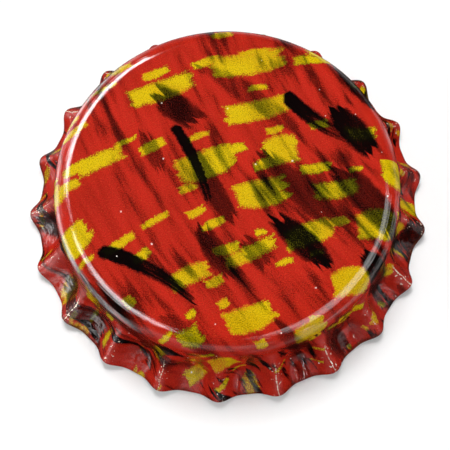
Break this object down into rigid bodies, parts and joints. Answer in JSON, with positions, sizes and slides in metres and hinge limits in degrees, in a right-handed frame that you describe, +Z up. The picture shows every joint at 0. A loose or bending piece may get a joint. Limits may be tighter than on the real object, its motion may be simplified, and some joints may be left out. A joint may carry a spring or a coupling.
{
  "type": "bottle cap",
  "caption": "Crown bottle cap: flat printed panel, rolled corner, flared fluted skirt and a moulded sealing liner inside.",
  "frame": {"origin": "centre of the cap in the plane its rim stands on", "axes": "+Z up out of the panel, -Y through the tip of one tooth, +X to the right seen from -Y"},
  "size_m": [0.032, 0.0319, 0.0067],
  "materials": {
    "printed_tinplate": "gloss lacquer over a printed red, yellow and black pattern, plain lacquered metal inside",
    "liner_compound": "soft satin moulding"
  },
  "bodies": {
    "root": {"shell": "printed_tinplate", "liner": "liner_compound"}
  },
  "joints": []
}
